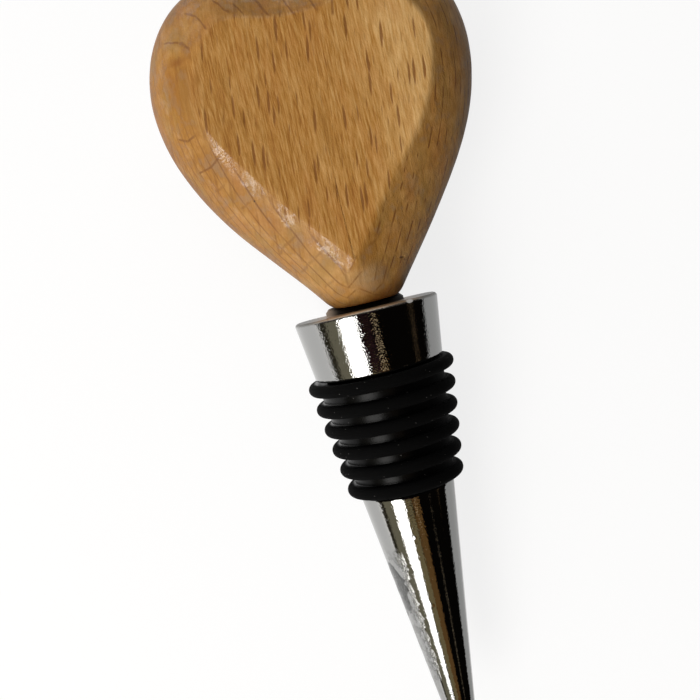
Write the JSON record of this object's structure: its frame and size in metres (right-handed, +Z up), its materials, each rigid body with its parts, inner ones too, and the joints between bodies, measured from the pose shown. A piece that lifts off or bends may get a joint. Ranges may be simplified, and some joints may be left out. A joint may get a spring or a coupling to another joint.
{
  "type": "bottle stopper",
  "caption": "Bottle stopper with a heart-shaped beech handle, a tapered chrome-plated metal body and a ribbed rubber sealing sleeve.",
  "frame": {"origin": "middle of the lying stopper's footprint, at the height of the surface it lies on", "axes": "+Y along the stopper from its metal tip to the heart's lobes, +Z up out of the heart's front face, +X across the heart"},
  "size_m": [0.0458, 0.1146, 0.022],
  "materials": {
    "beech": "satin",
    "zinc_plated_steel": "satin",
    "chrome_plate": "polished",
    "black_rubber": "satin"
  },
  "bodies": {
    "root": {"heart_handle": "beech", "threaded_stud": "zinc_plated_steel", "stopper_body": "chrome_plate", "sealing_sleeve": "black_rubber"}
  },
  "joints": []
}
